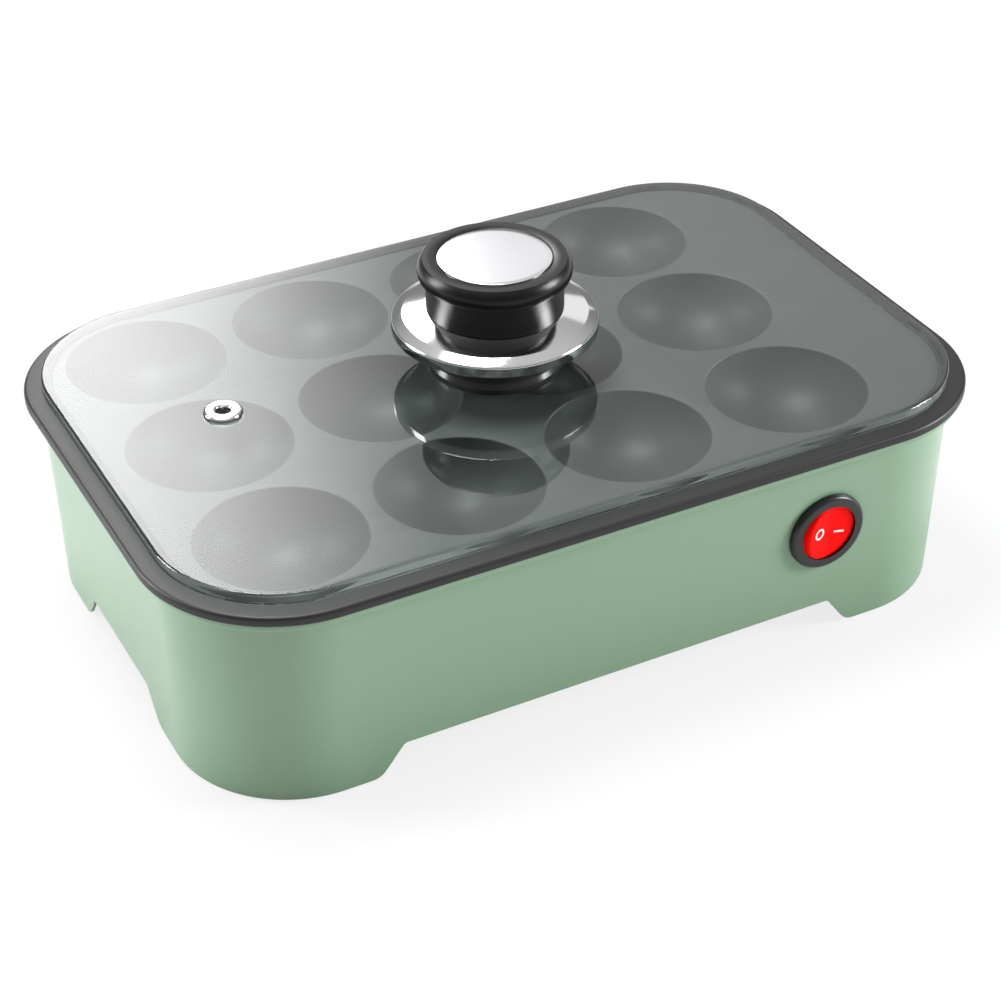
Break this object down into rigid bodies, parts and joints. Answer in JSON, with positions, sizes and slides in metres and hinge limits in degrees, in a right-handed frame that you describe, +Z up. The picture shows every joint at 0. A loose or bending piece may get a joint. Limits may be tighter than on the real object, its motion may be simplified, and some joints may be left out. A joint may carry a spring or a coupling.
{
  "type": "takoyaki maker",
  "caption": "Electric tabletop griddle with round hollows for batter balls, green metal housing, rocker switch and a lift-off glass lid with a round knob.",
  "frame": {"origin": "on the table under the middle of the cooking plate's rim", "axes": "+Z up; X along the long side; the side with the switch faces -Y, switch towards +X"},
  "size_m": [0.245, 0.162, 0.1008],
  "materials": {
    "green_enamel": "satin",
    "non_stick": "satin",
    "plated_steel": "satin",
    "element_steel": "matte",
    "ceramic": "matte",
    "black_phenolic": "gloss",
    "black_rubber": "matte",
    "black_gloss": "gloss",
    "brass": "satin",
    "red_gloss": "gloss",
    "lid_glass": "clear",
    "polished_steel": "polished",
    "brushed_cap": "satin",
    "clear_silicone": "satin"
  },
  "bodies": {
    "base": {"housing_shell": "green_enamel", "cooking_plate": "non_stick", "cooking_cups": "non_stick", "seat_ring": "plated_steel", "base_plate": "plated_steel", "heat_shield": "plated_steel", "spacer_tubes": "plated_steel", "clamp_screws": "plated_steel", "heating_element": "element_steel", "element_pins": "plated_steel", "element_beads": "ceramic", "element_straps": "plated_steel", "strap_screws_outer": "plated_steel", "strap_screws_inner": "plated_steel", "thermostat": "black_phenolic", "thermostat_screws": "plated_steel", "thermal_fuse": "plated_steel", "fuse_clip": "plated_steel", "fuse_clip_screws": "plated_steel", "terminal_block": "ceramic", "cord_bush": "black_rubber", "switch_body": "black_gloss", "switch_terminals": "brass", "foot_front_left": "black_rubber", "foot_front_right": "black_rubber", "foot_rear_left": "black_rubber", "foot_rear_right": "black_rubber"},
    "rocker": {"switch_rocker": "red_gloss"},
    "lid": {"glass_lid": "lid_glass", "steam_vent": "polished_steel", "knob_collar": "black_phenolic", "finger_guard": "polished_steel", "knob_grip": "black_phenolic", "knob_cap": "brushed_cap", "knob_screw": "polished_steel", "knob_washer": "clear_silicone"}
  },
  "joints": [
    {"name": "lid_lift", "type": "slide", "parent": "base", "child": "lid", "axis": [0, 0, 1], "range_m": [0, 0.12]},
    {"name": "rocker_turn", "type": "hinge", "parent": "base", "child": "rocker", "pos_m": [0.0624, -0.07496, 0.03563], "axis": [0, -0.0247, 0.9997], "range_deg": [-16, 0]}
  ]
}
